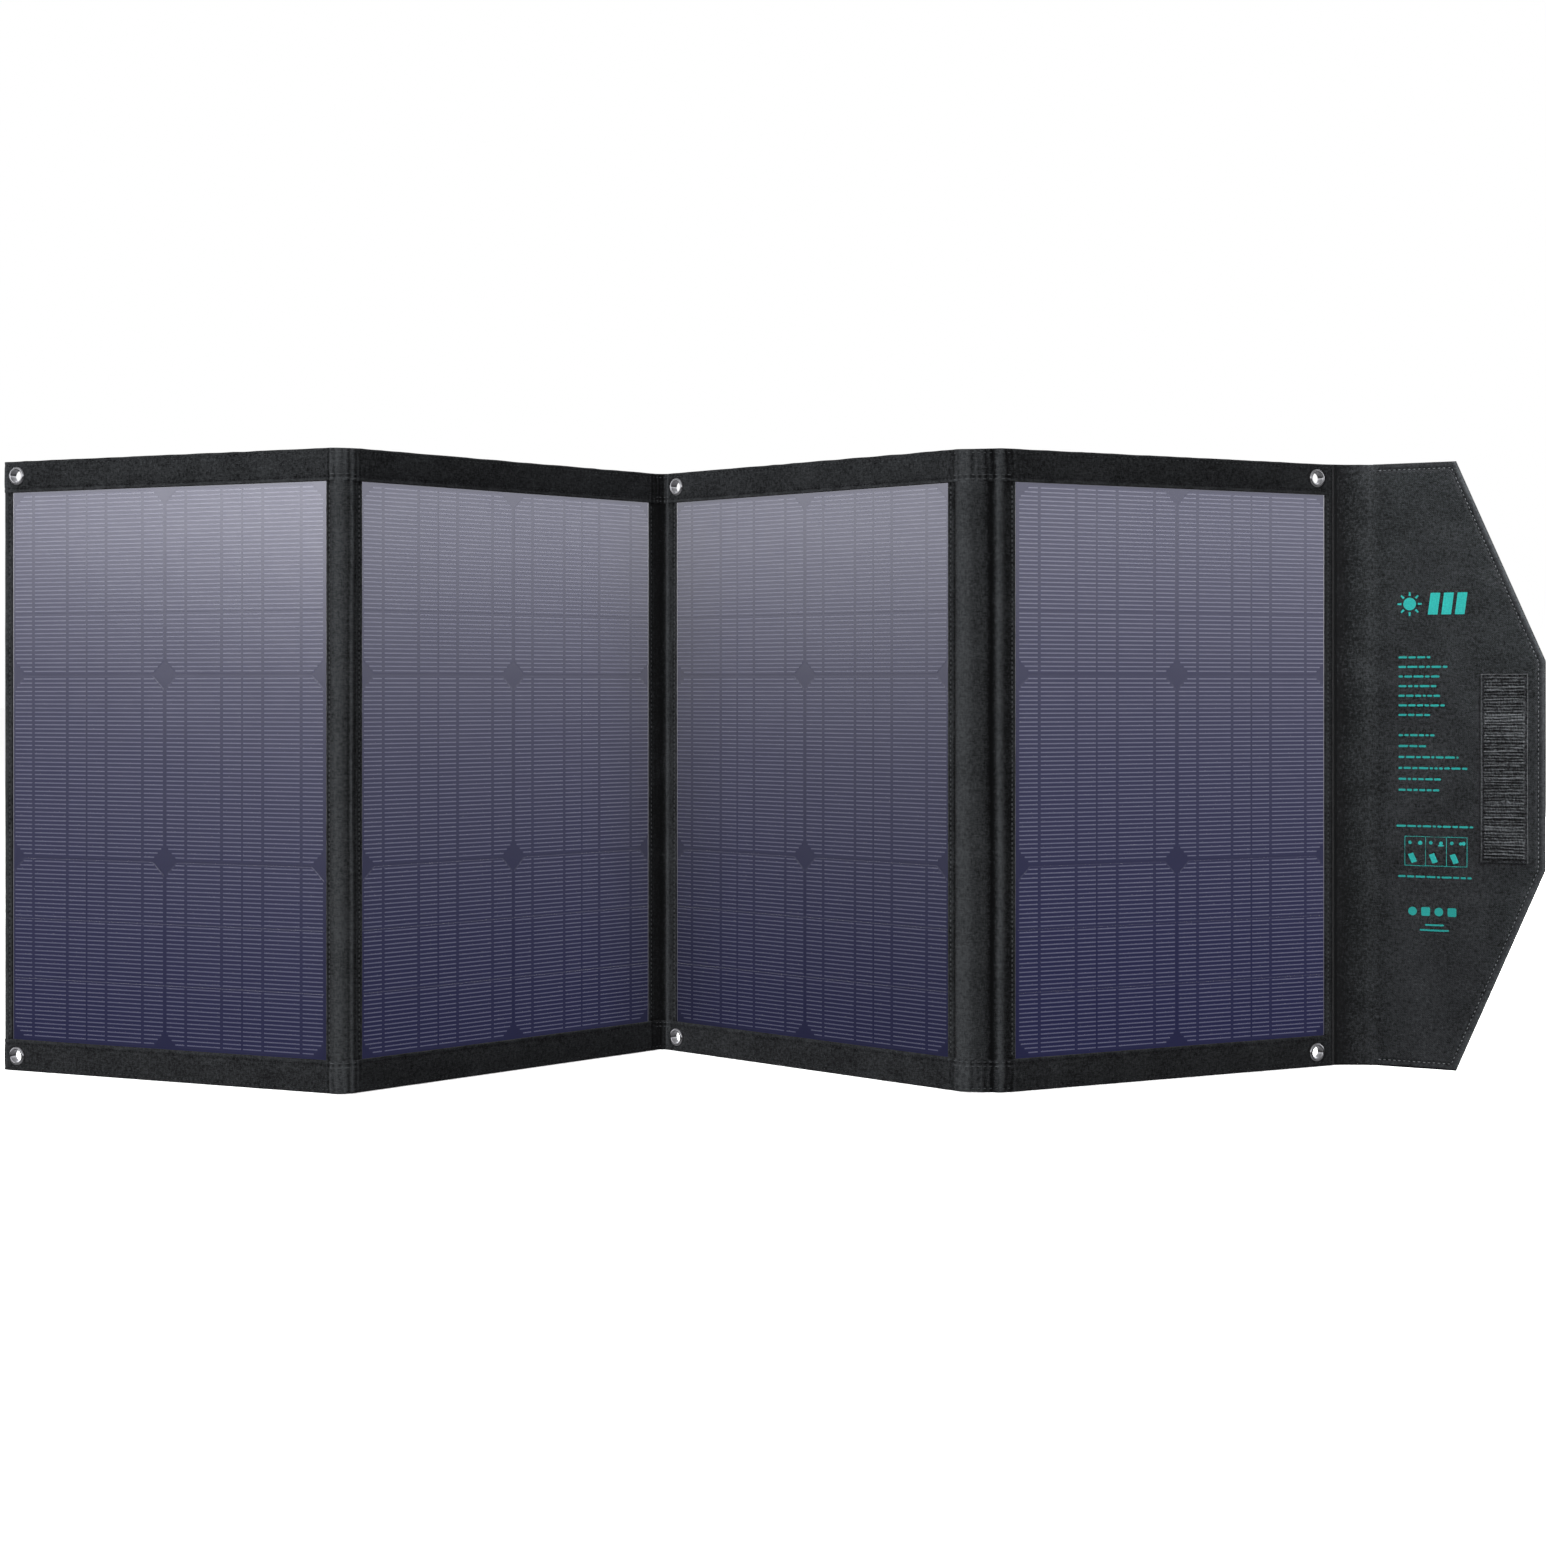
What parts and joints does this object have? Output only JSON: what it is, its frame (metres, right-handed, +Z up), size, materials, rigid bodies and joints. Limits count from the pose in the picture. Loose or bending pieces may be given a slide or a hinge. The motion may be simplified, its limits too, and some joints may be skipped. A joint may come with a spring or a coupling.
{
  "type": "folding solar panel",
  "caption": "Folding solar charger: hinged fabric-framed cell panels standing in a zigzag, with a fold-over closing flap, corner eyelets and a rear charge controller and zip pocket.",
  "frame": {"origin": "middle of the bounding box in X and Y, at the lower hems", "axes": "+X to the right along the row of panels, +Y towards the panels' backs, +Z up"},
  "size_m": [1.068, 0.1946, 0.425],
  "materials": {
    "canvas": "matte charcoal canvas weave",
    "film": "clear satin laminate film",
    "silicon": "dark violet-blue silicon",
    "tinned_copper": "flat tinned ribbon",
    "board": "dark stiff sheet",
    "nickel": "bright nickel plate",
    "hook_fabric": "dense hook-and-loop tape",
    "zip_tape": "woven zip tape",
    "black_plastic": "fine spark texture",
    "black_metal": "black enamel with worn edges",
    "black_rubber": "soft matte rubber",
    "circuit_board": "green solder mask",
    "light_lens": "clear green lens",
    "wire_sleeve": "black wire sleeve"
  },
  "bodies": {
    "panel_1": {"back_cover_1": "canvas", "cell_ribbons_1": "tinned_copper", "clear_film_1": "film", "eyelets_1": "nickel", "front_frame_1": "canvas", "hem_bands_1": "canvas", "solar_cells_1": "silicon", "stiffener_board_1": "board"},
    "panel_2": {"back_cover_2": "canvas", "cell_ribbons_2": "tinned_copper", "clear_film_2": "film", "front_frame_2": "canvas", "hem_bands_2": "canvas", "solar_cells_2": "silicon", "stiffener_board_2": "board"},
    "panel_3": {"back_cover_3": "canvas", "cell_ribbons_3": "tinned_copper", "clear_film_3": "film", "eyelets_3": "nickel", "front_frame_3": "canvas", "hem_bands_3": "canvas", "loop_strip": "hook_fabric", "solar_cells_3": "silicon", "stiffener_board_3": "board"},
    "panel_4": {"back_cover_4": "canvas", "cell_ribbons_4": "tinned_copper", "clear_film_4": "film", "controller_base": "black_plastic", "controller_board": "circuit_board", "controller_lid": "black_plastic", "controller_screws": "black_metal", "dc_jack": "black_plastic", "eyelets_4": "nickel", "front_frame_4": "canvas", "hem_bands_4": "canvas", "output_lead": "wire_sleeve", "pocket": "canvas", "solar_cells_4": "silicon", "status_light": "light_lens", "stiffener_board_4": "board", "usb_c_port": "nickel", "usb_ports": "nickel", "zipper_tape": "zip_tape", "zipper_teeth": "black_plastic"},
    "flap": {"flap_back": "canvas", "flap_board": "board", "flap_front": "canvas", "hook_strip": "hook_fabric"},
    "flap_spine": {"flap_spine_sleeve": "canvas"},
    "spine_1": {"link_wires_1": "wire_sleeve", "spine_1_sleeve": "canvas"},
    "spine_2": {"link_wires_2": "wire_sleeve", "spine_2_sleeve": "canvas"},
    "spine_3": {"link_wires_3": "wire_sleeve", "spine_3_sleeve": "canvas"},
    "port_cover": {"port_cover": "black_rubber"},
    "zip_pull": {"zip_pull": "black_metal"},
    "zip_slider": {"zip_slider": "black_metal"}
  },
  "joints": [
    {"name": "fold_2", "type": "hinge", "parent": "panel_3", "child": "spine_2", "pos_m": [-0.07466, 0.09612, 0.2125], "axis": [0, 0, 1], "range_deg": [-43.25, 46.75]},
    {"name": "fold_2_outer", "type": "hinge", "parent": "spine_2", "child": "panel_2", "pos_m": [-0.08185, 0.09597, 0.2125], "axis": [0, 0, 1], "range_deg": [-43.25, 46.75]},
    {"name": "fold_1", "type": "hinge", "parent": "panel_2", "child": "spine_1", "pos_m": [-0.27543, -0.09426, 0.2125], "axis": [0, 0, -1], "range_deg": [-33.15, 56.85]},
    {"name": "fold_1_outer", "type": "hinge", "parent": "spine_1", "child": "panel_1", "pos_m": [-0.28269, -0.09572, 0.2125], "axis": [0, 0, -1], "range_deg": [-33.15, 56.85]},
    {"name": "fold_3", "type": "hinge", "parent": "panel_3", "child": "spine_3", "pos_m": [0.12703, -0.08548, 0.2125], "axis": [0, 0, 1], "range_deg": [-33.5, 56.5]},
    {"name": "fold_3_outer", "type": "hinge", "parent": "spine_3", "child": "panel_4", "pos_m": [0.15571, -0.08976, 0.2125], "axis": [0, 0, 1], "range_deg": [-33.5, 56.5]},
    {"name": "flap_fold", "type": "hinge", "parent": "panel_4", "child": "flap_spine", "pos_m": [0.40169, 0.02493, 0.2125], "axis": [0, 0, -1], "range_deg": [-25.5, 64.5]},
    {"name": "flap_fold_outer", "type": "hinge", "parent": "flap_spine", "child": "flap", "pos_m": [0.42719, 0.02471, 0.2125], "axis": [0, 0, -1], "range_deg": [-25.5, 64.5]},
    {"name": "zip_travel", "type": "slide", "parent": "panel_4", "child": "zip_slider", "axis": [-0.9063, -0.4226, 0], "range_m": [0, 0.138]},
    {"name": "pull_swing", "type": "hinge", "parent": "zip_slider", "child": "zip_pull", "pos_m": [0.33363, 0.01306, 0.214], "axis": [0.4226, -0.9063, 0], "range_deg": [-75, 75]},
    {"name": "port_cover_hinge", "type": "hinge", "parent": "panel_4", "child": "port_cover", "pos_m": [0.27676, -0.02825, 0.2666], "axis": [-0.9063, -0.4226, 0], "range_deg": [0, 84]}
  ],
  "couplings": [
    {"joint": "fold_2_outer", "follows": "fold_2", "ratio": 1},
    {"joint": "fold_1_outer", "follows": "fold_1", "ratio": 1},
    {"joint": "fold_3_outer", "follows": "fold_3", "ratio": 1},
    {"joint": "flap_fold_outer", "follows": "flap_fold", "ratio": 1}
  ]
}
